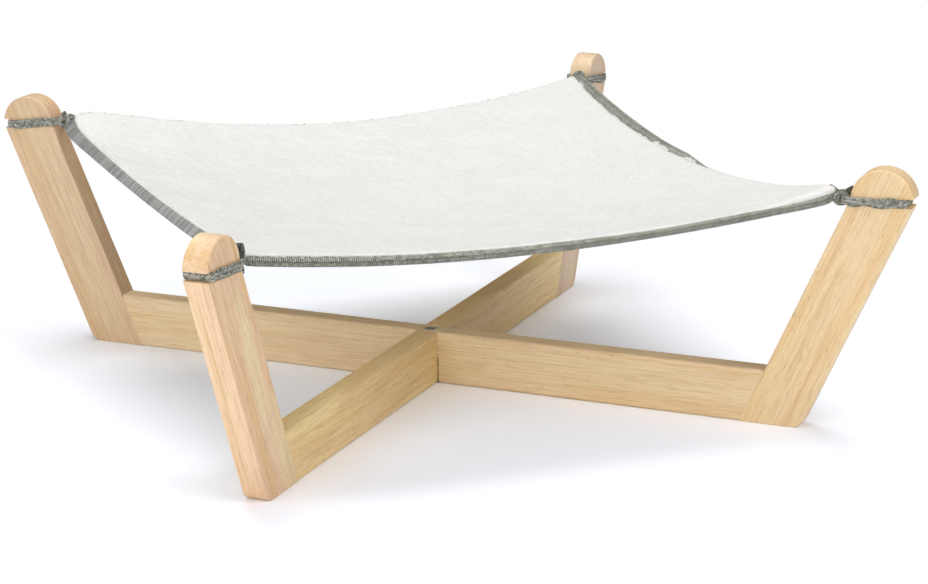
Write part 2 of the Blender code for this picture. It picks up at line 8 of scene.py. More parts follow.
import bmesh
import bpy
import numpy as np
from mathutils import Matrix, Vector


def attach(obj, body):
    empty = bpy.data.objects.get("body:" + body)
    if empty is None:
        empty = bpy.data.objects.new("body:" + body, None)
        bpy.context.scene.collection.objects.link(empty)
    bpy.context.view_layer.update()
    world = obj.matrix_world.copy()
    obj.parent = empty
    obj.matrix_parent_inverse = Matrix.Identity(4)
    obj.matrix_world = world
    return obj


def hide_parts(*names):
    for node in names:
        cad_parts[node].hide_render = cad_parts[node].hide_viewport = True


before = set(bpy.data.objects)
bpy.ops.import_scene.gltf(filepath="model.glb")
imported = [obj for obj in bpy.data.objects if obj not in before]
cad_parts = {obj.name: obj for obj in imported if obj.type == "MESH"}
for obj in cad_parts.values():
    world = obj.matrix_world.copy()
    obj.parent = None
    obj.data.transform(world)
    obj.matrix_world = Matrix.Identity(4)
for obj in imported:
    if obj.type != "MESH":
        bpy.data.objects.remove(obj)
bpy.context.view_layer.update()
MM = 0.001
UPRIGHT = (0, 0, 1)
WHITE = (1, 1, 1, 1)

# Camera, in the frame's axes, and its picture's width in pixels
IMAGE_WIDTH = 928
FOCAL_PIXELS = 2505.9
SENSOR_WIDTH = 36.0
CAMERA_PLACE = (-0.6678, -1.6917, 0.5753)
CAMERA_YAW = 0.3897
CAMERA_PITCH = 0.2720
CAMERA_ROLL = 0.0012
CAMERA_SEES = (0.05, 60.0)

# Wooden frame, as in the construction
FOOT_REACH = 290.0 * MM
BOARD_THICKNESS = 18.0 * MM
RAIL_HEIGHT = 40.0 * MM
LEG_WIDTH = 41.0 * MM
LEG_LEAN = math.radians(23.65)
FOOT_CORNER_RADIUS = 10.0 * MM
SLOT_HEIGHT = 171.0 * MM
SLOT_WIDTH = 6.6 * MM
SLOT_DEPTH = 7.0 * MM
CLEARANCE = 0.3 * MM
LAP_LOOSENESS = 1.0 * MM
BOLT_TOP = RAIL_HEIGHT - CLEARANCE
BOLT_RADIUS = 3.0 * MM
BOLT_HEAD_HEIGHT = 6.0 * MM
BOLT_BOTTOM = 6.7 * MM
COUNTERBORE_RADIUS = 5.6 * MM
INSERT_HOLE_RADIUS = 5.0 * MM
INSERT_BOTTOM = 7.7 * MM
# Holes in each rail on the middle line: radius, bottom and top
RAIL_HOLES = {
    "rail_upper": [
        (COUNTERBORE_RADIUS, BOLT_TOP - BOLT_HEAD_HEIGHT - CLEARANCE, 2 * RAIL_HEIGHT),
        (BOLT_RADIUS + CLEARANCE, -RAIL_HEIGHT, BOLT_TOP),
    ],
    "rail_lower": [
        (INSERT_HOLE_RADIUS, INSERT_BOTTOM - CLEARANCE, RAIL_HEIGHT),
        (BOLT_RADIUS + CLEARANCE, BOLT_BOTTOM - CLEARANCE, RAIL_HEIGHT),
    ],
}
LEG_RUN = LEG_WIDTH / math.cos(LEG_LEAN)
LEG_SLOPE = math.tan(LEG_LEAN)
SLOT_FLOOR = FOOT_REACH + SLOT_HEIGHT * LEG_SLOPE - SLOT_DEPTH
ARMS = {"front_right": -45.0, "back_right": 45.0, "back_left": 135.0, "front_left": 225.0}
ARRIS_RADIUS = 2.6 * MM
DOME_ARRIS_RADIUS = 4.2 * MM
ARRIS_SEGMENTS = 5
DOME_ARRIS_REACH = 14.0 * MM
JOINT_GAP = 0.06 * MM
DOME_STEPS = 48
CORNER_STEPS = 10
HOLE_SIDES = 64
# Edges that bend more than the first are rounded, and faces meeting more sharply than the second shade apart
ROUNDED_FROM = math.radians(20)
SHARP_FROM = math.radians(50)

# Sling: the line where the fleece turns over into the tape, called the crest
CREST_HALF = 216.5 * MM
CREST_BOW = 8.5 * MM
CORNER_HEIGHTS = {
    "front_left": 173.4 * MM,
    "front_right": 175.0 * MM,
    "back_right": 179.8 * MM,
    "back_left": 179.5 * MM,
}
EDGE_SAGS = {"front": 17.4 * MM, "right": 21.8 * MM, "back": 21.0 * MM, "left": 14.6 * MM}
BELLY = 5.4 * MM
# At these corners one edge rides higher than the other: half the step, and how far it reaches
CORNER_TWISTS = {"back_left": (9.6 * MM, 1.25), "front_right": (2.5 * MM, 0.8)}
TWIST_CORE = 0.04
# The pile stands thicker at these corners: by how much, and how far
CORNER_PUFFS = {
    "front_right": (3.2 * MM, 0.32),
    "back_right": (0.8 * MM, 0.16),
    "front_left": (1.0 * MM, 0.2),
}
FLEECE_THICKNESS = 4.5 * MM
FLEECE_RIM = 3.2 * MM
# The fleece thins out over the outer twelfth of the way from its middle, and rounds off over this width
THINNING = 12
ROUNDING = 7 * MM
ROUNDING_SHARE = 0.4
# Bumps in the pile, along its rim and in the canvas: height, pitch and seed
HOLLOWS = ((0.6 * MM, 31 * MM, 3), (0.4 * MM, 12 * MM, 5))
CURLS = (0.28 * MM, 6.3 * MM, 7)
TURNED_CURLS = (0.24 * MM, 4.1 * MM, 11)
CURL_TURN = 0.6
RIM_SHAG = (0.25 * MM, 2.6 * MM, 17)
CANVAS_BUMPS = (0.25 * MM, 37 * MM, 23)
LATTICE = (97, 101)
LATTICE_START = 1000.0
FLEECE_CELLS = 300
RIM_CROWDING = 1.25
RIM_STEPS = 6
CANVAS_THICKNESS = 1.0 * MM
CANVAS_CELLS = 90
CANVAS_INSET = 0.985
THREAD_PITCH = 1.3 * MM

# Tape round the edges
FLAP_WIDTH = 7.0 * MM
TAPE_HALF = 1.15 * MM
FOLD_RADIUS = 1.45 * MM
FLAP_START = -0.5 * MM
RIB_PITCH = 1.5 * MM
PLAIT_WIDTH = 2.6 * MM
TAPE_STEP = 0.275 * MM
TAPE_END = 0.985
EDGE_SAMPLES = 61
CURVE_STEPS = 24
# Where the tape ends, as reach, aside and height from the knot, and how its section shrinks on the way there
TAPE_IN_KNOT = (-1.5 * MM, 2.2 * MM, -0.8 * MM)
GATHERED = (0.45, 1.05)
# How far the ribs of the tape and of the knots' strands swell, as a share of their thickness
TAPE_RIBS = 0.16
STRAND_RIBS = 0.12
# The tape of each edge: tone, which makes each edge's tape a lighter or darker copy as painted light and
# shade for how light falls there, slant of its stitches, strength of its flecks and of the painted shade
# lines between its rows, tint, and whether painted shade darkens its crease and the flap below it
TAPE_LOOKS = {
    "front": (1.04, 0.5, 0.45, 0.7, (1, 1, 1), True),
    "right": (0.95, 0.2, 0.3, 0.2, (1, 1, 1), False),
    "back": (1.0, 0.5, 0.45, 0.7, (1, 1, 1), True),
    "left": (1.0, 0.0, 0.42, 0.0, (0.975, 0.975, 1.03), False),
}

# Ties: tape round the legs, and knots
TIE_WIDTH = 7.0 * MM
TIE_WIDTH_IN_SLOT = 6.1 * MM
TIE_THICKNESS = 2.2 * MM
THICKNESS_AT_KNOT = 2.8 * MM
KNOT_LEVELS = {
    "front_left": 169.5 * MM,
    "front_right": 169.5 * MM,
    "back_right": 174.5 * MM,
    "back_left": 175.0 * MM,
}
KNOT_REACH = 312.5 * MM
STRAP_SWAYS = {
    "front_left": 0.1 * MM,
    "front_right": 0.45 * MM,
    "back_right": 0.3 * MM,
    "back_left": 0.05 * MM,
}
STRAP_POINTS = 16
STRAP_SQUARENESS = 0.55
# Tones of the ties' braid: the dark one is a darker copy, painted shade for tails that lie in shadow
TIE_TONES = {"plain": ("tie_braid", 1.04), "dark": ("tie_braid_painted_shade", 0.70)}
TIE_SLANT = 2.0
TIE_FLECKS = 0.8

# Wisps of pile on each edge: how many, where the first may stand, their lengths, girths and depths in mm, and
# their rise. The rings of a wisp give a share of its length and of its girth.
WISPS = {
    "front": (220, -0.985, (0.4, 0.9), (0.2, 0.4), (0.1, 0.8), (-0.45, 0.35)),
    "right": (1500, -0.12, (1.8, 4.2), (0.35, 0.75), (0.6, 1.3), (0.3, 0.85)),
    "back": (420, -0.985, (0.8, 1.8), (0.3, 0.6), (0.1, 1.2), (-0.45, 0.35)),
    "left": (240, -0.985, (0.4, 0.9), (0.2, 0.4), (0.1, 0.8), (-0.45, 0.35)),
}
CLUMPS = (0.8, 6.0 * MM, 29)
WISP_SEED = 41
WISP_SIDES = 5
WISP_RINGS = ((0.0, 1.0), (0.45, 0.85), (0.8, 0.5))

# Wood of each board: its ground, pink, golden and brown as on a screen, and the place it is cut from
WOODS = {
    "rail_upper": ((246, 224, 180), (242, 215, 176), (238, 203, 144), (202, 161, 111), (1.31, 0.11, 0.52)),
    "rail_lower": ((254, 231, 172), (248, 219, 164), (243, 206, 135), (205, 161, 100), (4.17, 0.73, 0.21)),
    "front_right": ((247, 221, 171), (243, 217, 173), (239, 200, 139), (210, 165, 111), (2.37, 0.41, 0.87)),
    "back_right": ((237, 215, 183), (232, 205, 175), (230, 197, 151), (195, 154, 115), (6.53, 0.29, 0.65)),
    "back_left": ((232, 206, 168), (230, 196, 162), (222, 188, 138), (186, 142, 103), (3.71, 0.93, 0.33)),
    "front_left": ((247, 228, 181), (245, 211, 175), (233, 191, 125), (196, 149, 98), (5.29, 0.57, 0.11)),
}
DOWEL_WOOD = ((226, 200, 162), (220, 186, 152), (228, 190, 134), (186, 146, 104), (0.2, 0.7, 0.4))
STREAKS = 0.62
# Metals: colour, its darker clouds, and roughness
STEEL = ((0.90, 0.89, 0.87, 1), (0.74, 0.735, 0.72, 1), 0.26)
BRASS = ((0.72, 0.55, 0.30, 1), (0.60, 0.44, 0.22, 1), 0.34)

# Floor: colours, how much paler the camera sees them, and the distances between which it turns white
FLOOR_SIZE = 30.0
FLOOR_COLOUR = (0.885, 0.905, 0.945, 1)
FLOOR_COLOUR_TOO = (0.90, 0.92, 0.96, 1)
FLOOR_LIFT = 1.40
FLOOR_TINT = (0.942, 0.966, 1.010)
FLOOR_FADE = (0.45, 0.80)
# Light from all round, and what shining things mirror
AMBIENT = 0.01
MIRRORED = 0.12
# Lamps: azimuth, elevation, distance, size, power and colour, and the height they are aimed at
LIGHT_AIM = 0.08
LIGHTS = [
    ("left", 200, 30, 2.2, 1.3, 11.2, (0.98, 1.0, 1.06)),
    ("low", 230, 14, 2.2, 1.3, 14.2, (1.07, 1.0, 0.95)),
    ("right", 302, 34, 2.2, 1.3, 18.5, (1.03, 1.0, 1.02)),
    ("overhead", 90, 72, 2.2, 2.0, 35.0, (1.02, 1.0, 0.96)),
    ("top", 270, 80, 2.2, 1.3, 5.7, (1.0, 1.0, 1.0)),
]


def lerp(first, second, share):
    return first + (second - first) * share


def ease(value):
    """A smooth step from 0 to 1, of a number or an array."""
    value = np.clip(value, 0.0, 1.0)
    return value * value * (3 - 2 * value)


def unit(vectors):
    return vectors / np.maximum(np.linalg.norm(vectors, axis=-1, keepdims=True), 1e-12)


def lumps(x, y, height, pitch, seed):
    """Smooth bumps from -height to height on a random lattice, the same in every run."""
    table = np.random.default_rng(seed).uniform(-1, 1, LATTICE)
    gx, gy = np.asarray(x) / pitch + LATTICE_START, np.asarray(y) / pitch + LATTICE_START
    ix, iy = np.floor(gx).astype(int), np.floor(gy).astype(int)
    tx, ty = ease(gx - ix), ease(gy - iy)

    def at(dx, dy):
        return table[(ix + dx) % LATTICE[0], (iy + dy) % LATTICE[1]]

    return height * lerp(lerp(at(0, 0), at(1, 0), tx), lerp(at(0, 1), at(1, 1), tx), ty)


def add_object(name, data):
    made = bpy.data.objects.new(name, data)
    bpy.context.scene.collection.objects.link(made)
    return made


def closed_piece(name, points, faces, material, uv=None):
    """A closed skin, its faces turned outwards. uv has one pair for each corner of each face."""
    mesh = bpy.data.meshes.new(name)
    mesh.from_pydata([tuple(p) for p in points], [], [tuple(f) for f in faces])
    if uv is not None:
        layer = mesh.uv_layers.new(name="UVMap")
        layer.data.foreach_set("uv", np.asarray(uv, dtype=np.float32).reshape(-1))
    mesh.shade_smooth()
    work = bmesh.new()
    work.from_mesh(mesh)
    bmesh.ops.recalc_face_normals(work, faces=work.faces)
    work.to_mesh(mesh)
    work.free()
    piece = add_object(name, mesh)
    mesh.materials.append(material)
    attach(piece, "root")
    return piece


def tube_piece(name, rings, along, around, material):
    """A closed skin over rings of points, with its length and its girth in metres as UV."""
    rings = np.asarray(rings)
    count, size = rings.shape[:2]
    faces, uv = [], []
    for i in range(count - 1):
        for j in range(size):
            k = (j + 1) % size
            faces.append((i * size + j, i * size + k, (i + 1) * size + k, (i + 1) * size + j))
            uv += [(along[i], around[j]), (along[i], around[j + 1])]
            uv += [(along[i + 1], around[j + 1]), (along[i + 1], around[j])]
    for i, order in ((0, range(size)[::-1]), (count - 1, range(size))):
        faces.append([i * size + j for j in order])
        uv += [(along[i], around[j]) for j in order]
    return closed_piece(name, rings.reshape(-1, 3), faces, material, uv)


class Nodes:
    """A short way to write the node tree of a material or a world."""

    def __init__(self, name, kind=bpy.data.materials):
        self.owner = kind.new(name)
        self.owner.use_nodes = True
        self.tree = self.owner.node_tree
        self.shader = self.tree.nodes.get("Principled BSDF")
        self.place = None

    def add(self, kind, values=None, **settings):
        node = self.tree.nodes.new("ShaderNode" + kind)
        for key, value in settings.items():
            setattr(node, key, value)
        for key, value in (values or {}).items():
            self.put(value, node.inputs[key])
        return node

    def put(self, value, socket):
        if isinstance(value, bpy.types.NodeSocket):
            self.tree.links.new(value, socket)
        else:
            socket.default_value = value

    def math(self, operation, first, second=0.0, third=0.0):
        return self.add("Math", {0: first, 1: second, 2: third}, operation=operation).outputs[0]

    def coordinates(self, scale=1, offset=(0, 0, 0), output="Object"):
        """Coordinates in cells: as many to the metre as scale says, for X, Y and Z or for all three."""
        scale = scale if isinstance(scale, tuple) else (scale,) * 3
        source = self.place or self.add("TexCoord").outputs[output]
        return self.add("Mapping", {"Vector": source, "Scale": scale, "Location": offset}).outputs[0]

    def turn_grain(self, origin, rotation):
        """From here on, coordinates are taken in a frame with this origin and rotation."""
        values = {"Vector": self.add("TexCoord").outputs["Object"], "Location": origin, "Rotation": rotation}
        self.place = self.add("Mapping", values, vector_type="TEXTURE").outputs[0]

    def noise(self, scale, offset=(0, 0, 0), detail=3.0, roughness=0.5, sway=None):
        """Cloudy noise from 0 to 1, with its coordinates moved by sway."""
        place = self.coordinates(scale, offset)
        if sway:
            place = self.add("VectorMath", {0: place, 1: sway}, operation="ADD").outputs[0]
        values = {"Vector": place, "Scale": 1.0, "Detail": detail, "Roughness": roughness}
        return self.add("TexNoise", values).outputs[0]

    def off_middle(self, value):
        """How far a value lies from the middle of its cell, up to 0.5 at the cell's ends."""
        return self.math("ABSOLUTE", self.math("SUBTRACT", self.math("FRACT", value), 0.5))

    def span(self, value, low, high, to_low=0.0, to_high=1.0):
        """The value stretched from low..high to to_low..to_high, and held at the ends."""
        ends = {0: value, 1: low, 2: high, 3: to_low, 4: to_high}
        return self.add("MapRange", ends, interpolation_type="SMOOTHSTEP").outputs[0]

    def mix(self, share, first, second, blend="MIX"):
        """Two colours mixed. The node's colour sockets are inputs 6 and 7 and output 2."""
        values = {0: share, 6: first, 7: second}
        return self.add("Mix", values, data_type="RGBA", blend_type=blend).outputs[2]

    def bump(self, height, strength, distance):
        return self.add("Bump", {"Height": height, "Strength": strength, "Distance": distance}).outputs[0]

    def finish(self, **inputs):
        for key, value in inputs.items():
            self.put(value, self.shader.inputs[key.replace("_", " ")])
        return self.owner


def rgb(red, green, blue):
    """A colour as it looks on a screen, from 0 to 255, made linear for a shader."""
    def linear(c):
        c /= 255
        return c / 12.92 if c <= 0.04045 else ((c + 0.055) / 1.055) ** 2.4
    return (linear(red), linear(green), linear(blue), 1.0)


def wood_material(name, ground, pink, golden, brown, offset, flames=0.28, up_leg=False):
    """Pale plantation hardwood: long bands, blotches, fibres and short dark pores along X or up a leg."""
    ground, pink, golden, brown = rgb(*ground), rgb(*pink), rgb(*golden), rgb(*brown)
    n = Nodes(name)
    if up_leg:
        n.turn_grain((FOOT_REACH - LEG_RUN / 2, 0, 0), (0, LEG_LEAN - math.pi / 2, 0))
    warp = n.noise((5.0, 30, 30), offset)
    spread = n.add("SeparateXYZ", {0: n.coordinates(offset=offset)}).outputs
    across = n.math("MULTIPLY_ADD", warp, 0.030, spread[2])
    deep = n.math("MULTIPLY_ADD", spread[1], 1.6, 0.021)
    ring_place = n.math("SQRT", n.math("ADD", n.math("POWER", across, 2.0), n.math("POWER", deep, 2.0)))
    rings = n.math("SINE", n.math("MULTIPLY", ring_place, 1150.0))
    sway = n.add("CombineXYZ", {0: 0.0, 1: 0.0, 2: n.math("MULTIPLY", warp, 0.9)}).outputs[0]
    bands = n.noise((2.4, 95, 95), offset, 3.0, 0.6, sway)
    blotches = n.noise((7, 34, 34), offset)
    flame = n.noise((13, 62, 62), (offset[1], offset[2], offset[0]), 4.0, 0.6)
    fibres = n.noise((30, 1000, 1000), offset, 3.0, 0.65)
    grain = n.noise((11, 360, 360), offset, 3.0, 0.65)
    pores = n.noise((110, 1900, 1900), offset, 1.0, 0.4)
    colour = n.mix(n.span(blotches, 0.38, 0.62), ground, pink)
    colour = n.mix(n.span(bands, 0.47, 0.64, 0.0, 0.95 * STREAKS), colour, golden)
    colour = n.mix(n.span(rings, 0.35, 1.0, 0.0, 0.20 * STREAKS), colour, golden)
    colour = n.mix(n.span(flame, 0.56, 0.72, 0.0, flames), colour, brown)
    colour = n.mix(n.span(grain, 0.48, 0.76, 0.0, 0.50 * STREAKS), colour, brown)
    colour = n.mix(n.span(fibres, 0.56, 0.34, 0.0, 0.34), colour, brown)
    colour = n.mix(n.span(fibres, 0.54, 0.74, 0.0, 0.45), colour, rgb(246, 226, 192))
    pore_mask = n.span(pores, 0.66, 0.74)
    colour = n.mix(n.math("MULTIPLY", pore_mask, 0.45), colour, (0.30, 0.175, 0.085, 1))
    height = n.math("SUBTRACT", n.math("MULTIPLY", fibres, 0.6), pore_mask)
    roughness = n.span(grain, 0.3, 0.8, 0.42, 0.54)
    bump = n.bump(height, 0.35, 0.12 * MM)
    return n.finish(Base_Color=colour, Roughness=roughness, Normal=bump, Specular_IOR_Level=0.45)


def fleece_material():
    """Short curly pile, white, with painted shade greying the hollows between its tufts and where its curls
    dip.
    """
    n = Nodes("fleece_pile")
    curls = n.noise(620, detail=4.0, roughness=0.62)
    tufts = n.add("TexVoronoi", {"Vector": n.coordinates(410), "Scale": 1.0, "Randomness": 1.0}).outputs[0]
    clouds = n.noise(26)
    white = n.mix(n.span(clouds, 0.3, 0.7), rgb(235, 236, 234), rgb(239, 240, 238))
    # Painted shade: the hollows between the tufts, and the places where the curls dip, are greyer
    shade = n.mix(n.span(tufts, 0.25, 0.95, 0.0, 0.35), white, rgb(217, 216, 210))
    colour = n.mix(n.span(curls, 0.28, 0.52, 0.30, 0.0), shade, rgb(208, 206, 200))
    height = n.math("SUBTRACT", n.math("MULTIPLY", curls, 0.9), n.math("MULTIPLY", tufts, 0.55))
    bump = n.bump(height, 0.5, 0.9 * MM)
    return n.finish(Base_Color=colour, Roughness=0.95, Normal=bump, Sheen_Weight=0.25, Sheen_Roughness=0.5,
                    Specular_IOR_Level=0.15)


def canvas_material():
    """A plain weave whose threads run along the sling's edges."""
    n = Nodes("canvas_weave")
    spread = n.add("SeparateXYZ", {0: n.coordinates()}).outputs
    thread = 2 * math.pi / THREAD_PITCH
    warp = n.math("SINE", n.math("MULTIPLY", spread[0], thread))
    weft = n.math("SINE", n.math("MULTIPLY", spread[1], thread))
    checks = n.math("MULTIPLY", warp, weft)
    slubs = n.noise((60, 900, 900))
    clouds = n.noise(18)
    colour = n.mix(n.span(clouds, 0.3, 0.7), rgb(226, 220, 206), rgb(233, 228, 216))
    colour = n.mix(n.span(checks, -0.9, 0.1, 0.28, 0.0), colour, rgb(186, 178, 160))
    colour = n.mix(n.span(slubs, 0.55, 0.78, 0.0, 0.35), colour, rgb(203, 194, 176))
    bump = n.bump(n.math("ADD", checks, slubs), 0.4, 0.25 * MM)
    return n.finish(Base_Color=colour, Roughness=0.9, Normal=bump, Specular_IOR_Level=0.2)


def tape_material(name, tone, slant, flecks, rows=0.7, tint=(1, 1, 1), crease=None):
    """Fleck braid: stitches that slant one way and then the other across the tape, each of its own grey.

    Without rows the stitches run right across it. With a crease, painted shade darkens the tape along that
    place in its girth, and the flap past it.
    """
    def grey(*levels):
        return rgb(*(level * tone * share for level, share in zip(levels, tint)))

    n = Nodes(name)
    parts = n.add("SeparateXYZ", {0: n.coordinates(output="UV")}).outputs
    along = n.math("DIVIDE", parts[0], RIB_PITCH)
    across = n.math("DIVIDE", parts[1], PLAIT_WIDTH)
    slanted = n.math("MULTIPLY_ADD", n.off_middle(across), slant, along)
    row = n.math("MULTIPLY", across, 2.0 if rows else 0.0)
    stitch = n.add("CombineXYZ", {0: n.math("FLOOR", slanted), 1: n.math("FLOOR", row), 2: 0.0}).outputs[0]
    fleck = n.add("TexWhiteNoise", {"Vector": stitch}).outputs["Value"]
    clouds = n.noise(50, detail=2.0)
    middle = n.mix(n.span(clouds, 0.3, 0.7), grey(162, 165, 153), grey(180, 183, 171))
    colour = n.mix(n.span(fleck, 0.45, 0.85, 0.0, flecks), middle, grey(226, 227, 215))
    colour = n.mix(n.span(fleck, 0.40, 0.10, 0.0, flecks * 0.8), colour, grey(92, 96, 88))
    # Painted shade in the gaps between stitches and between rows; the same gaps also sink in the bump
    between_stitches = n.span(n.off_middle(slanted), 0.20, 0.42)
    between_rows = n.span(n.off_middle(row), 0.36, 0.5, 0.0, rows)
    gaps = n.math("MAXIMUM", between_stitches, between_rows)
    colour = n.mix(n.math("MULTIPLY", gaps, 0.92), colour, grey(66, 69, 62))
    # Painted shade: a dark line along the crease, and the flap past the crease darker
    if crease is not None:
        from_crease = n.math("ABSOLUTE", n.math("SUBTRACT", parts[1], crease))
        colour = n.mix(n.span(from_crease, 0.75 * MM, 0.15 * MM, 0.0, 0.7), colour, grey(50, 53, 47))
        shade_below_crease = n.span(parts[1], crease - 0.2 * MM, crease + 0.5 * MM, 0.0, 0.30)
        colour = n.mix(shade_below_crease, colour, grey(70, 73, 66))
    height = n.math("SUBTRACT", n.math("MULTIPLY", fleck, 0.3), n.math("MULTIPLY", gaps, 1.2))
    bump = n.bump(height, 0.6, 0.4 * MM)
    return n.finish(Base_Color=colour, Roughness=0.8, Normal=bump, Specular_IOR_Level=0.3)


def metal_material(name, colour, dark, roughness):
    """Metal with fine strokes along its length."""
    n = Nodes(name)
    strokes = n.noise((1500, 1500, 60))
    clouds = n.noise(240)
    tone = n.mix(n.span(clouds, 0.3, 0.75), colour, dark)
    grain = n.span(strokes, 0.2, 0.8, roughness - 0.06, roughness + 0.10)
    bump = n.bump(strokes, 0.25, 0.03 * MM)
    return n.finish(Base_Color=tone, Metallic=1.0, Roughness=grain, Normal=bump)


# Boards, each in the frame of its arm or rail: X along it, Y through its thickness.
def bevelled_board(name, outline, arris, material):
    """A board of this outline, in X and Z. arris gives the radius of an edge from its two ends."""
    work = bmesh.new()
    front = [work.verts.new((x, -BOARD_THICKNESS / 2, z)) for x, z in outline]
    face = work.faces.new(front)
    sides = bmesh.ops.extrude_face_region(work, geom=[face])["geom"]
    moved = [g for g in sides if isinstance(g, bmesh.types.BMVert)]
    bmesh.ops.translate(work, verts=moved, vec=(0, BOARD_THICKNESS, 0))
    bmesh.ops.recalc_face_normals(work, faces=work.faces)
    work.normal_update()
    shares = work.edges.layers.float.new("bevel_weight_edge")
    for edge in work.edges:
        if edge.calc_face_angle(0.0) > ROUNDED_FROM:
            edge[shares] = arris(edge.verts[0].co, edge.verts[1].co) / DOME_ARRIS_RADIUS
    mesh = bpy.data.meshes.new(name)
    work.to_mesh(mesh)
    work.free()
    board = add_object(name, mesh)
    mesh.materials.append(material)
    easing = board.modifiers.new("eased", "BEVEL")
    easing.limit_method = "WEIGHT"
    easing.width = DOME_ARRIS_RADIUS
    easing.segments = ARRIS_SEGMENTS
    apply_modifiers(board)
    return board


def cut_box(board, low, high, place):
    """Saws a box, given by its lowest and highest corners in a place, out of a board."""
    work = bmesh.new()
    middle = (Vector(low) + Vector(high)) / 2
    size = Vector(high) - Vector(low)
    bmesh.ops.create_cube(work, size=1.0, matrix=Matrix.Translation(middle) @ Matrix.Diagonal((*size, 1)))
    cut_away(board, work, place)


def cut_away(board, work, place):
    tool_mesh = bpy.data.meshes.new("cutter")
    work.to_mesh(tool_mesh)
    work.free()
    tool = add_object("cutter", tool_mesh)
    tool.matrix_world = place
    bpy.context.view_layer.update()
    change = board.modifiers.new("cut", "BOOLEAN")
    change.operation = "DIFFERENCE"
    change.object = tool
    apply_modifiers(board)
    bpy.data.objects.remove(tool)


def drill_holes(board, holes):
    """Drills upright holes in the middle, each given by its radius, bottom and top."""
    for radius, bottom, top in holes:
        work = bmesh.new()
        bmesh.ops.create_cone(work, cap_ends=True, segments=HOLE_SIDES, radius1=radius, radius2=radius,
                              depth=top - bottom, matrix=Matrix.Translation((0, 0, (top + bottom) / 2)))
        cut_away(board, work, Matrix.Identity(4))


def apply_modifiers(made):
    graph = bpy.context.evaluated_depsgraph_get()
    solid = bpy.data.meshes.new_from_object(made.evaluated_get(graph))
    made.modifiers.clear()
    made.data = solid


def smooth_board(board):
    """Smooth shading whose broad faces stay flat."""
    board.data.shade_smooth()
    board.data.set_sharp_from_angle(angle=SHARP_FROM)
    change = board.modifiers.new("flat_faces", "WEIGHTED_NORMAL")
    change.keep_sharp = True
    change.weight = 100
    apply_modifiers(board)


def arm_matrix(arm):
    return Matrix.Rotation(math.radians(ARMS[arm]), 4, "Z")


def arc_points(centre, radius, start, end, steps):
    angles = np.linspace(start, end, steps + 1)
    return [(centre[0] + radius * math.cos(a), centre[1] + radius * math.sin(a)) for a in angles]


def leg_inner(height):
    """How far out the leg's inner line is at this height."""
    return FOOT_REACH - LEG_RUN + min(height, SLOT_HEIGHT) * LEG_SLOPE


def leg_outline():
    """The leg seen from the side, in reach and height: foot, outer line, round top, inner line."""
    lean = math.pi / 2 - LEG_LEAN
    foot_centre = (FOOT_REACH - FOOT_CORNER_RADIUS * math.tan(lean / 2), FOOT_CORNER_RADIUS)
    outer_foot = arc_points(foot_centre, FOOT_CORNER_RADIUS, -math.pi / 2, lean - math.pi / 2, CORNER_STEPS)
    top_centre = (FOOT_REACH - LEG_RUN / 2 + SLOT_HEIGHT * LEG_SLOPE, SLOT_HEIGHT)
    dome = arc_points(top_centre, LEG_RUN / 2, 0.0, math.pi, DOME_STEPS)
    return outer_foot + dome + [(leg_inner(z), z) for z in (RAIL_HEIGHT, RAIL_HEIGHT - ARRIS_RADIUS, 0.0)]


def make_leg(arm, material):
    """A leaning leg with a slot in its outer edge, in place on its arm."""
    def up_leg(reach, height):
        return reach * math.sin(LEG_LEAN) + height * math.cos(LEG_LEAN)

    dome_start = up_leg(FOOT_REACH, SLOT_HEIGHT)

    def arris(first, second):
        """Square where the rail meets the leg, and rounder over the top than down the sides."""
        near = 0.01 * MM
        if all(abs(p.x - leg_inner(p.z)) < near and p.z < RAIL_HEIGHT + near for p in (first, second)):
            return 0.0
        above_slot = (up_leg(first.x, first.z) + up_leg(second.x, second.z)) / 2 - dome_start
        return lerp(ARRIS_RADIUS, DOME_ARRIS_RADIUS, float(ease(above_slot / DOME_ARRIS_REACH)))

    leg = bevelled_board("board_leg_" + arm, leg_outline(), arris, material)
    leg.matrix_world = arm_matrix(arm)
    low = (SLOT_FLOOR, -BOARD_THICKNESS, SLOT_HEIGHT - SLOT_WIDTH / 2)
    high = (SLOT_FLOOR + LEG_WIDTH, BOARD_THICKNESS, SLOT_HEIGHT + SLOT_WIDTH / 2)
    cut_box(leg, low, high, arm_matrix(arm))
    smooth_board(leg)
    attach(leg, "root")
    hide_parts("leg_" + arm)
    return leg


def make_rail(name, arm, upper, material):
    """A rail with slanting ends, halved where it crosses the other, in place on an arm."""
    low_end = FOOT_REACH - LEG_RUN - JOINT_GAP
    high_end = low_end + RAIL_HEIGHT * LEG_SLOPE
    outline = [(-low_end, 0), (low_end, 0), (high_end, RAIL_HEIGHT), (-high_end, RAIL_HEIGHT)]

    def arris(first, second):
        at_an_end = min(abs(first.x), abs(second.x)) > low_end - MM and first.x * second.x > 0
        return 0.0 if at_an_end else ARRIS_RADIUS

    rail = bevelled_board("board_" + name, outline, arris, material)
    half = BOARD_THICKNESS / 2 + (LAP_LOOSENESS if upper else CLEARANCE)
    middle = RAIL_HEIGHT / 2
    bottom, top = (-MM, middle + CLEARANCE / 2) if upper else (middle - CLEARANCE / 2, RAIL_HEIGHT + MM)
    rail.matrix_world = arm_matrix(arm)
    bpy.context.view_layer.update()
    cut_box(rail, (-half, -half * 2, bottom), (half, half * 2, top), rail.matrix_world)
    drill_holes(rail, RAIL_HOLES[name])
    smooth_board(rail)
    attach(rail, "root")
    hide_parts(name)
    return rail


# The sling. Its place is told by across and deep, from -1 to 1 between its edges.
def sling_plan(across, deep):
    x = across * (CREST_HALF - CREST_BOW * (1 - deep ** 2))
    y = deep * (CREST_HALF - CREST_BOW * (1 - across ** 2))
    return x, y


def from_corner(corner, across, deep):
    """How far a place is from a corner's side and from its end, and -1 at the front or 1 at the back."""
    side = 1.0 if corner.endswith("right") else -1.0
    end = 1.0 if corner.startswith("back") else -1.0
    return 1 - side * across, 1 - end * deep, end


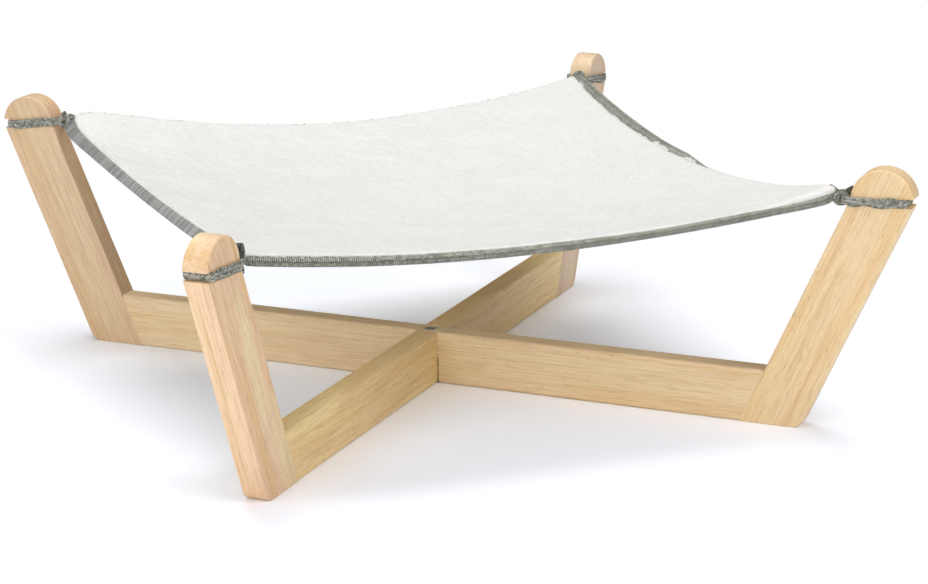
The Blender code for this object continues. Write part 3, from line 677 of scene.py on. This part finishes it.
def sling_height(across, deep):
    """The height of the fleece's surface before its rim and its pile."""
    to_right, to_back = (1 + across) / 2, (1 + deep) / 2
    front = lerp(CORNER_HEIGHTS["front_left"], CORNER_HEIGHTS["front_right"], to_right)
    back = lerp(CORNER_HEIGHTS["back_left"], CORNER_HEIGHTS["back_right"], to_right)
    bulge_x, bulge_y = 1 - across ** 2, 1 - deep ** 2
    height = lerp(front, back, to_back)
    height = height - bulge_x * lerp(EDGE_SAGS["front"], EDGE_SAGS["back"], to_back)
    height = height - bulge_y * lerp(EDGE_SAGS["left"], EDGE_SAGS["right"], to_right)
    height = height - BELLY * bulge_x * bulge_y
    for corner, (lift, reach) in CORNER_TWISTS.items():
        from_side, from_end, end = from_corner(corner, across, deep)
        near = np.clip(1 - (from_side + from_end) / reach, 0, 1) ** 2
        turn = (from_side - from_end) / (from_side + from_end + TWIST_CORE)
        height = height + end * lift * near * turn
    return height


def edge_point(out, t):
    """The point at t, from -1 to 1, along the crest of the edge that faces out."""
    across, deep = out[0] - out[1] * t, out[1] + out[0] * t
    x, y = sling_plan(across, deep)
    return x, y, float(sling_height(np.array(across), np.array(deep)))


def fleece_surface(across, deep):
    """The pile's surface: the hanging form, soft hollows, curls and a rounded rim."""
    x, y = sling_plan(across, deep)
    height = sling_height(across, deep)
    from_edge = np.minimum(1 - np.abs(across), 1 - np.abs(deep)) * CREST_HALF
    inside = np.clip(from_edge / ROUNDING, 0, 1)
    rim = FLEECE_RIM * (1 - np.sqrt(np.clip(1 - (1 - inside) ** 3.0, 0, 1))) * ROUNDING_SHARE
    soft = sum(lumps(x, y, *layer) for layer in HOLLOWS)
    curls = lumps(x, y, *CURLS) + lumps(x + CURL_TURN * y, y - CURL_TURN * x, *TURNED_CURLS)
    puff = 0.0
    for corner, (lift, reach) in CORNER_PUFFS.items():
        from_side, from_end, _ = from_corner(corner, across, deep)
        puff = puff + lift * ease(1 - (from_side + from_end) / reach)
    return x, y, height + puff - rim + soft * (0.4 + 0.6 * inside) + curls * (0.35 + 0.65 * inside)


def fleece_underside(across, deep):
    thickness = lerp(FLEECE_RIM, FLEECE_THICKNESS, ease((1 - np.maximum(abs(across), abs(deep))) * THINNING))
    return sling_height(across, deep) - thickness


def grid_points(x, y, z):
    return np.stack([x, y, z], axis=-1).reshape(-1, 3)


def grid_rim(steps):
    """The numbers of the points round a square grid, in order."""
    numbers = np.arange((steps + 1) ** 2).reshape(steps + 1, steps + 1)
    return np.concatenate([numbers[:-1, 0], numbers[-1, :-1], numbers[:0:-1, -1], numbers[0, :0:-1]])


def sheet_piece(name, steps, top, under, material, rings=()):
    """A closed sheet between two grids of points, joined through rings of points round its rim."""
    rim = grid_rim(steps)
    corners = [i * (steps + 1) + j for i in range(steps) for j in range(steps)]
    quads = [(a, a + steps + 1, a + steps + 2, a + 1) for a in corners]
    faces = quads + [[len(top) + k for k in reversed(quad)] for quad in quads]
    loops = [rim]
    loops += [len(top) + len(under) + len(rim) * number + np.arange(len(rim)) for number in range(len(rings))]
    loops.append(rim + len(top))
    for upper, lower in zip(loops, loops[1:]):
        faces += zip(upper, lower, np.roll(lower, -1), np.roll(upper, -1))
    return closed_piece(name, np.concatenate([top, under, *rings]), faces, material)


def make_fleece(material):
    """The fleece, with more points near its rim, which is round and shaggy."""
    line = np.linspace(-1, 1, FLEECE_CELLS + 1)
    line = np.sin(line * RIM_CROWDING) / math.sin(RIM_CROWDING)
    across, deep = np.meshgrid(line, line, indexing="ij")
    x, y, z = fleece_surface(across, deep)
    top, under = grid_points(x, y, z), grid_points(x, y, fleece_underside(across, deep))
    rim = grid_rim(FLEECE_CELLS)
    middle = (top[rim] + under[rim]) / 2
    places = np.stack([across, deep], axis=-1).reshape(-1, 2)[rim]
    outwards = unit(np.sign(places) * (np.abs(places) > 1 - 1e-9))
    half = (top[rim, 2] - under[rim, 2]) / 2
    shag = lumps(middle[:, 0] + middle[:, 1], middle[:, 0] - middle[:, 1], *RIM_SHAG)
    rings = []
    for step in range(1, RIM_STEPS):
        turn = math.pi * step / RIM_STEPS
        ring = middle.copy()
        ring[:, :2] += outwards * ((FLEECE_RIM / 2 + shag) * math.sin(turn))[:, None]
        ring[:, 2] += half * math.cos(turn)
        rings.append(ring)
    return sheet_piece("fleece_pad", FLEECE_CELLS, top, under, material, rings)


def make_canvas(material):
    """The backing cloth, a closed thin sheet just below the pile."""
    line = np.linspace(-CANVAS_INSET, CANVAS_INSET, CANVAS_CELLS + 1)
    across, deep = np.meshgrid(line, line, indexing="ij")
    x, y = sling_plan(across, deep)
    top = grid_points(x, y, fleece_underside(across, deep) - CLEARANCE + lumps(x, y, *CANVAS_BUMPS))
    under = top - np.array([0, 0, CANVAS_THICKNESS])
    return sheet_piece("canvas_back", CANVAS_CELLS, top, under, material)


# Tape and ties, along paths of points
def smooth_path(rows):
    """Evenly spaced rows of a Catmull-Rom curve: three columns for its points, and values carried along."""
    rows = np.array(rows, float)
    ends = np.vstack([2 * rows[0] - rows[1], rows, 2 * rows[-1] - rows[-2]])
    fine = []
    for a, b, c, d in zip(ends, ends[1:], ends[2:], ends[3:]):
        for t in np.linspace(0, 1, CURVE_STEPS, endpoint=False):
            fine.append(0.5 * (2 * b + (c - a) * t + (2 * a - 5 * b + 4 * c - d) * t ** 2
                               + (3 * b - a - 3 * c + d) * t ** 3))
    fine = np.array(fine + [rows[-1]])
    length = np.concatenate([[0], np.cumsum(np.linalg.norm(np.diff(fine[:, :3], axis=0), axis=1))])
    count = max(int(round(length[-1] / TAPE_STEP)), 2)
    places = np.linspace(0, length[-1], count + 1)
    even = np.stack([np.interp(places, length, column) for column in fine.T], axis=-1)
    return even, places


def sweep(name, path, places, wide, sections, material, ribs):
    """A closed skin along path. A section is a ring of (out, up) pairs, out along wide and up square to it.

    Ribs swell and shrink it by that share about the line in the middle of its thickness.
    """
    tangent = unit(np.gradient(path, axis=0))
    wide = unit(wide - tangent * np.sum(wide * tangent, axis=1, keepdims=True))
    up = np.cross(wide, tangent)
    sections = np.array(sections)
    outs = sections[..., 0]
    half = np.abs(sections[..., 1]).max(axis=1, keepdims=True)
    low, high = outs.min(axis=1, keepdims=True) + half, outs.max(axis=1, keepdims=True) - half
    middle_line = np.stack([np.clip(outs, low, np.maximum(high, low)), np.zeros_like(outs)], axis=-1)
    pulse = 1 - ribs * np.cos(2 * math.pi * places / RIB_PITCH)
    shaped = middle_line + (sections - middle_line) * pulse[:, None, None]
    rings = path[:, None, :] + shaped[..., :1] * wide[:, None, :] + shaped[..., 1:] * up[:, None, :]
    ring = sections[len(sections) // 2]
    girth = np.linalg.norm(np.diff(np.vstack([ring, ring[:1]]), axis=0), axis=1)
    around = np.concatenate([[0], np.cumsum(girth)])
    return tube_piece(name, rings, places, around, material)


def strap_section(width, thickness):
    """A flat ring with round corners."""
    turns = 2 * math.pi * np.arange(STRAP_POINTS) / STRAP_POINTS
    ring = np.stack([np.cos(turns), np.sin(turns)], axis=-1)
    return np.sign(ring) * np.abs(ring) ** STRAP_SQUARENESS * (width / 2, thickness / 2)


def folded_section(creased):
    """A tape folded over the cloth's edge: a flap above, a crease or none, the fold and a flap below."""
    half, fold = TAPE_HALF, FOLD_RADIUS
    upper_end, lower_end = (FLAP_START, half * 0.5), (FLAP_START, -half * 0.5)
    if not creased:
        width = FLAP_WIDTH
        upper = [upper_end, (0, half)] + [(width * share, half * 1.08) for share in (0.2, 0.4, 0.6, 0.75)]
        bend = [(width - half + half * math.cos(a), half * math.sin(a)) for a in np.linspace(1.3, -1.57, 9)]
        return upper + bend + [(width * 0.4, -half), (0, -half), lower_end]
    flat = FLAP_WIDTH - 2 * fold
    crests = ((0.35, 1.12), (0.7, 1.12), (0.9, 0.95), (1, 0.6))
    upper = [upper_end, (0, half)] + [(flat * share, half * rise) for share, rise in crests]
    bend = [(flat + fold * (1 + math.cos(a)), fold * math.sin(a)) for a in np.linspace(2.3, -1.57, 9)]
    return upper + bend + [(flat * 0.6, -half * 1.05), (0, -half), lower_end]


def crease_girth():
    """How far round its section the creased tape's crease lies, which is the section's sixth point."""
    section = np.array(folded_section(True))
    return float(np.linalg.norm(np.diff(section[:6], axis=0), axis=1).sum())


def arm_point(arm, reach, aside, height):
    angle = math.radians(ARMS[arm])
    x = reach * math.cos(angle) - aside * math.sin(angle)
    y = reach * math.sin(angle) + aside * math.cos(angle)
    return np.array([x, y, height])


# Each edge of the sling: its corners, its way out, and rows along it, from -1 to 1, with the tape's tilt
# below level, its drop and its reach beyond the crest in mm, and how many times its usual width it is
USUAL_LIE = (0.3, 1)
EDGES = {
    "front": (("front_left", "front_right"), (0.0, -1.0), [
        (-1, 62, 2.2), (-0.5, 50, 2.2), (0, 34, 2.2), (0.4, 28, 2.6, 0.3, 0.92), (0.8, 24, 2.2, 0.1, 1),
        (1, 40, 2.2)]),
    "right": (("front_right", "back_right"), (1.0, 0.0), [
        (-1, 62, 2.2), (-0.4, 50, 2.4), (-0.15, 25, 2.0), (0, -12, 1.2), (0.2, -20, 1.3), (0.35, -25, 0.6),
        (0.6, -30, 0.1), (0.85, -32, 0.7), (1, -30, 2.4)]),
    "back": (("back_right", "back_left"), (0.0, 1.0), [(-1, 75, 3.2), (1, 78, 3.2)]),
    "left": (("back_left", "front_left"), (-1.0, 0.0), [
        (-1, 40, 0.8, 0.9, 1.32), (-0.75, 41, 1.4, 1.1, 1.1), (-0.3, 42, 2.4, 1.4, 1), (0, 42, 2.4, 1.3, 1),
        (0.35, 43, 1.8, 0.5, 1.06), (0.65, 44, 1.2, -0.3, 1.14), (1, 45, 1.3, -0.2, 1.14)]),
}


def make_tape(edge, material):
    """The folded tape of one edge, from knot to knot."""
    corners, out, lie = EDGES[edge]
    stations, *columns = zip(*((*row, *USUAL_LIE)[:5] for row in lie))
    rows = []
    for t in np.linspace(-TAPE_END, TAPE_END, EDGE_SAMPLES):
        tilt, drop, beyond, breadth = (float(np.interp(t, stations, column)) for column in columns)
        x, y, z = edge_point(out, t)
        x, y = x + out[0] * beyond * MM, y + out[1] * beyond * MM
        rows.append((x, y, z - drop * MM, math.radians(tilt), breadth, 1))
    reach, aside, height = TAPE_IN_KNOT
    start, end = (arm_point(corner, KNOT_REACH + reach, side * aside, KNOT_LEVELS[corner] + height)
                  for corner, side in zip(corners, (1, -1)))
    rows, places = smooth_path([(*start, *rows[0][3:5], 0), *rows, (*end, *rows[-1][3:5], 0)])
    path, tilt, breadths, opened = rows[:, :3], rows[:, 3], rows[:, 4], np.clip(rows[:, 5], 0, 1)
    tangent = unit(np.gradient(path, axis=0))
    level_out = unit(np.cross(tangent, UPRIGHT))
    wide = level_out * np.cos(tilt)[:, None] - np.array(UPRIGHT) * np.sin(tilt)[:, None]
    open_tape = np.array(folded_section(creased=edge != "left"))
    gathered = (open_tape - open_tape.mean(axis=0)) * GATHERED
    sections = [lerp(gathered, open_tape, ease(share)) * (wider, 1) for share, wider in zip(opened, breadths)]
    piece = sweep("tape_" + edge, path, places, wide, sections, material, TAPE_RIBS)
    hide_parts("edge_binding_" + edge)
    return piece


def braided_strand(name, arm, rows, guide, material):
    """A strand through rows of reach, aside, height, width and thickness, its width turned to guide."""
    rows, places = smooth_path([(*arm_point(arm, *row[:3]), *row[3:]) for row in rows])
    sections = [strap_section(width, thickness) for width, thickness in rows[:, 3:]]
    return sweep(name, rows[:, :3], places, np.array(guide, float), sections, material, STRAND_RIBS)


def join_pieces(name, pieces):
    bpy.ops.object.select_all(action="DESELECT")
    for piece in pieces:
        piece.select_set(True)
    bpy.context.view_layer.objects.active = pieces[0]
    bpy.ops.object.join()
    pieces[0].name = name
    return pieces[0]


# Knots and tails: points as reach, aside and height from the knot in mm, then width and thickness in mm, the
# way that the width faces, and the shade: plain, or dark, a darker copy of the braid that paints shade on
# tails lying in shadow
KNOT_STRANDS = [
    ([(4.5, 3.6, 0.6), (1.8, 2, 2.4), (-1.2, -1.2, 2.8), (-3.6, -3.4, 0.2), (-2.6, -2.8, -2.6),
      (0.8, 0.2, -3.2), (3.4, 3, -2.2), (4.6, 3.4, 0.2)], 4.2, 2.6, UPRIGHT, "plain"),
    ([(4.5, -3.6, 0.2), (1.6, -2.2, -2.2), (-1.4, 1, -2.2), (-3.8, 3.4, 0.2), (-2.4, 3, 2.6), (0.6, 0.4, 3.9),
      (3.2, -2.6, 2.6), (4.4, -3.4, 0.4)], 4.2, 2.6, UPRIGHT, "plain"),
]
TAILS = {
    "front_left": [
        ([(0, 2, 0.5), (-1, 2.6, 4.5), (-0.2, 3, 8), (0.6, 2.6, 11)], 9.2, 3.0, (0.71, -0.71, 0.1), "dark"),
        ([(1, 3.5, -1), (0.5, 5, -4), (1.5, 5.5, -8)], 4.6, 2.4, (0.71, -0.71, 0), "dark"),
    ],
    "back_left": [
        ([(1.5, 0, 1.5), (0.5, 1, 4.4), (1, 2, 7)], 4.6, 2.2, (1, 1, 0), "dark"),
        ([(1, 0, 1), (-4, 1.5, 4), (-8.5, 2, 4)], 4.2, 2.2, UPRIGHT, "plain"),
    ],
    "back_right": [
        ([(-0.5, -2, 1), (0.5, 0.6, 4.6), (2.6, -1.2, 7), (2.5, -4.8, 6), (1.5, -6, 3)], 3.2, 2.0, UPRIGHT,
         "plain"),
        ([(0, -4, 0), (-1.5, -7, 1), (-2, -10, 1)], 3.8, 2.2, UPRIGHT, "plain"),
    ],
    "front_right": [
        ([(0, 0, 1), (3.4, 2.2, 4), (7.6, 3.8, 6.6)], 5.2, 2.3, UPRIGHT, "dark"),
        ([(1, -1, 0), (-4.5, 0.5, 3.6), (-10, 2, 6.4)], 5.2, 2.5, UPRIGHT, "plain"),
    ],
}


def make_tie(arm, materials):
    """The tape ends of a corner: round the leg through its slot, knotted, with short tails."""
    face = BOARD_THICKNESS / 2 + CLEARANCE + TIE_THICKNESS / 2
    in_slot = SLOT_FLOOR + CLEARANCE + TIE_THICKNESS / 2
    knot_level, sway = KNOT_LEVELS[arm], STRAP_SWAYS[arm]
    inner = leg_inner(knot_level)
    at_knot = (inner - 5.5 * MM, 1.6 * MM, knot_level - 0.5 * MM, 4.0 * MM, THICKNESS_AT_KNOT)
    # One half of the loop, from the knot round to the slot: reach, aside, height and width
    half = [at_knot] + [(*row, TIE_THICKNESS) for row in (
        (inner - 2.6 * MM, 5.6 * MM, knot_level, 5.0 * MM),
        (inner + 0.4 * MM, face - 0.9 * MM, knot_level + 0.3 * MM, TIE_WIDTH),
        (inner + 4.0 * MM, face, knot_level + 0.1 * MM, TIE_WIDTH),
        (lerp(inner, in_slot, 0.30), face, lerp(knot_level, SLOT_HEIGHT, 0.30) + sway, TIE_WIDTH - 3 * sway),
        (lerp(inner, in_slot, 0.55), face, lerp(knot_level, SLOT_HEIGHT, 0.60) - sway, TIE_WIDTH),
        (lerp(inner, in_slot, 0.75), face, SLOT_HEIGHT + sway / 2, TIE_WIDTH),
        (in_slot - 4.5 * MM, face, SLOT_HEIGHT, TIE_WIDTH_IN_SLOT),
        (in_slot - 0.9 * MM, face - 0.4 * MM, SLOT_HEIGHT, TIE_WIDTH_IN_SLOT),
        (in_slot, face - 1.9 * MM, SLOT_HEIGHT, TIE_WIDTH_IN_SLOT),
        (in_slot, 3.0 * MM, SLOT_HEIGHT, TIE_WIDTH_IN_SLOT),
    )]
    loop = half + [(r, -a, z, w, t) for r, a, z, w, t in reversed(half)]
    strands = [braided_strand("loop", arm, loop, UPRIGHT, materials["plain"])]
    for points, width, thickness, guide, shade in KNOT_STRANDS + TAILS[arm]:
        size = (width * MM, thickness * MM)
        rows = [(KNOT_REACH + r * MM, a * MM, knot_level + z * MM, *size) for r, a, z in points]
        strands.append(braided_strand("strand", arm, rows, guide, materials[shade]))
    piece = join_pieces("tie_" + arm, strands)
    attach(piece, "root")
    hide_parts("corner_tie_" + arm)
    return piece


def make_wisps(material):
    """Wisps of pile along the edges, each a closed curved cone."""
    draw = np.random.default_rng(WISP_SEED)
    points, faces = [], []
    corners = range(WISP_SIDES)
    sides = [(a, (a + 1) % WISP_SIDES) for a in corners]
    for edge, (count, start, lengths, girths, depths, rises) in WISPS.items():
        out_x, out_y = EDGES[edge][1]
        out, along = np.array([out_x, out_y, 0.0]), np.array([-out_y, out_x, 0.0])
        for t in draw.uniform(start, TAPE_END, count):
            inset = draw.uniform(0.2, 1.8) * MM
            sunk = draw.uniform(*depths) * MM
            root = np.array(edge_point(out, t)) - out * inset - (0, 0, sunk)
            lean = out * draw.uniform(0.5, 1.1) + along * draw.uniform(-1.0, 1.0)
            lean = unit(lean + (0, 0, draw.uniform(*rises)))
            reach = draw.uniform(*lengths) * MM * (0.75 + float(lumps(t * CREST_HALF, 0.0, *CLUMPS)))
            girth = draw.uniform(*girths) * MM
            sink = np.array([0, 0, -draw.uniform(0.1, 0.5) * reach])
            side = unit(np.cross(lean, UPRIGHT))
            top = np.cross(side, lean)
            base = len(points)
            for share, size in WISP_RINGS:
                middle = root + lean * reach * share + sink * share ** 2
                for a in corners:
                    turn = 2 * math.pi * a / WISP_SIDES
                    points.append(middle + girth * size * (side * math.cos(turn) + top * math.sin(turn)))
            tip = len(points)
            points.append(root + lean * reach + sink)
            faces.append([base + a for a in corners])
            last = tip - WISP_SIDES
            for ring in range(base, last, WISP_SIDES):
                upper = ring + WISP_SIDES
                faces += [(ring + a, upper + a, upper + b, ring + b) for a, b in sides]
            faces += [(last + a, tip, last + b) for a, b in sides]
    return closed_piece("fleece_wisps", points, faces, material)


def floor_material():
    """A pale floor, to the camera a little paler than its light makes it, and white far from the object."""
    n = Nodes("floor")
    path = n.add("LightPath").outputs
    mirrored = n.math("MAXIMUM", path["Is Glossy Ray"], path["Is Transmission Ray"])
    seen = n.math("MAXIMUM", path["Is Camera Ray"], mirrored)
    patches = n.noise(3, detail=2.0)
    ground = n.mix(patches, FLOOR_COLOUR, FLOOR_COLOUR_TOO)
    lifted = n.mix(1.0, ground, (*(FLOOR_LIFT * tint for tint in FLOOR_TINT), 1), "MULTIPLY")
    near = n.add("BsdfDiffuse", {"Color": n.mix(seen, ground, lifted)}).outputs[0]
    far = n.add("Emission", {"Color": WHITE, "Strength": 1.0}).outputs[0]
    reach = n.add("VectorMath", {0: n.coordinates()}, operation="LENGTH").outputs["Value"]
    share = n.math("MULTIPLY", n.span(reach, *FLOOR_FADE), path["Is Camera Ray"])
    mixed = n.add("MixShader", {0: share, 1: near, 2: far}).outputs[0]
    n.put(mixed, n.tree.nodes["Material Output"].inputs["Surface"])
    n.tree.nodes.remove(n.shader)
    return n.owner


def make_stage():
    """A floor, a white surround and soft lights."""
    bpy.ops.mesh.primitive_plane_add(size=FLOOR_SIZE)
    floor = bpy.context.object
    floor.name = "floor"
    floor.data.materials.append(floor_material())

    n = Nodes("surround", bpy.data.worlds)
    rays = n.add("LightPath").outputs
    level = AMBIENT
    for ray, strength in (("Is Glossy Ray", MIRRORED), ("Is Transmission Ray", 1.0), ("Is Camera Ray", 1.0)):
        level = n.add("Mix", {0: rays[ray], 2: level, 3: strength}).outputs[0]
    background = n.tree.nodes["Background"].inputs
    n.put(level, background["Strength"])
    n.put(WHITE, background["Color"])
    bpy.context.scene.world = n.owner

    for name, azimuth, elevation, distance, size, power, colour in LIGHTS:
        lamp = bpy.data.lights.new(name, "AREA")
        lamp.shape = "SQUARE"
        lamp.size = size
        lamp.energy = power
        lamp.color = colour
        a, e = math.radians(azimuth), math.radians(elevation)
        place = Vector((math.cos(a) * math.cos(e), math.sin(a) * math.cos(e), math.sin(e))) * distance
        holder = add_object(name, lamp)
        holder.location = place + Vector((0, 0, LIGHT_AIM))
        holder.rotation_euler = place.to_track_quat("Z", "Y").to_euler()


def make_camera():
    level = math.cos(CAMERA_PITCH)
    forward = Vector((math.sin(CAMERA_YAW) * level, math.cos(CAMERA_YAW) * level, -math.sin(CAMERA_PITCH)))
    right = Vector((math.cos(CAMERA_YAW), -math.sin(CAMERA_YAW), 0))
    down = forward.cross(right)
    rolled_right = right * math.cos(CAMERA_ROLL) + down * math.sin(CAMERA_ROLL)
    rolled_down = down * math.cos(CAMERA_ROLL) - right * math.sin(CAMERA_ROLL)
    turn = Matrix((rolled_right, -rolled_down, -forward)).transposed().to_4x4()
    data = bpy.data.cameras.new("camera")
    data.sensor_width = SENSOR_WIDTH
    data.lens = FOCAL_PIXELS * SENSOR_WIDTH / IMAGE_WIDTH
    data.clip_start, data.clip_end = CAMERA_SEES
    camera = add_object("camera", data)
    camera.matrix_world = Matrix.Translation(CAMERA_PLACE) @ turn
    bpy.context.scene.camera = camera


def dress(node, material):
    """Gives a node of the CAD model a material of its own."""
    node.data.materials.clear()
    node.data.materials.append(material)


fleece = fleece_material()
tapes = {
    edge: tape_material("tape_braid_" + edge, *look, crease=crease_girth() if creased else None)
    for edge, (*look, creased) in TAPE_LOOKS.items()
}
tie_tapes = {
    shade: tape_material(name, tone, TIE_SLANT, TIE_FLECKS) for shade, (name, tone) in TIE_TONES.items()
}
woods = {name: wood_material("wood_" + name, *wood, up_leg=name in ARMS) for name, wood in WOODS.items()}

for arm in ARMS:
    make_leg(arm, woods[arm])
make_rail("rail_lower", "back_right", False, woods["rail_lower"])
make_rail("rail_upper", "front_right", True, woods["rail_upper"])

pad = make_fleece(fleece)
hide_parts("fleece_top")
wisps = make_wisps(fleece)
backing = make_canvas(canvas_material())
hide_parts("canvas_underside")
for edge in EDGES:
    make_tape(edge, tapes[edge])
ties = [make_tie(arm, tie_tapes) for arm in ARMS]

dowel_wood = wood_material("dowel_wood", *DOWEL_WOOD, flames=0.1)
for name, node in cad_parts.items():
    if name.startswith("dowel_"):
        dress(node, dowel_wood)
dress(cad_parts["centre_bolt"], metal_material("brushed_steel", *STEEL))
dress(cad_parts["threaded_insert"], metal_material("brass", *BRASS))

make_stage()
make_camera()
bpy.context.scene.view_settings.view_transform = "Standard"
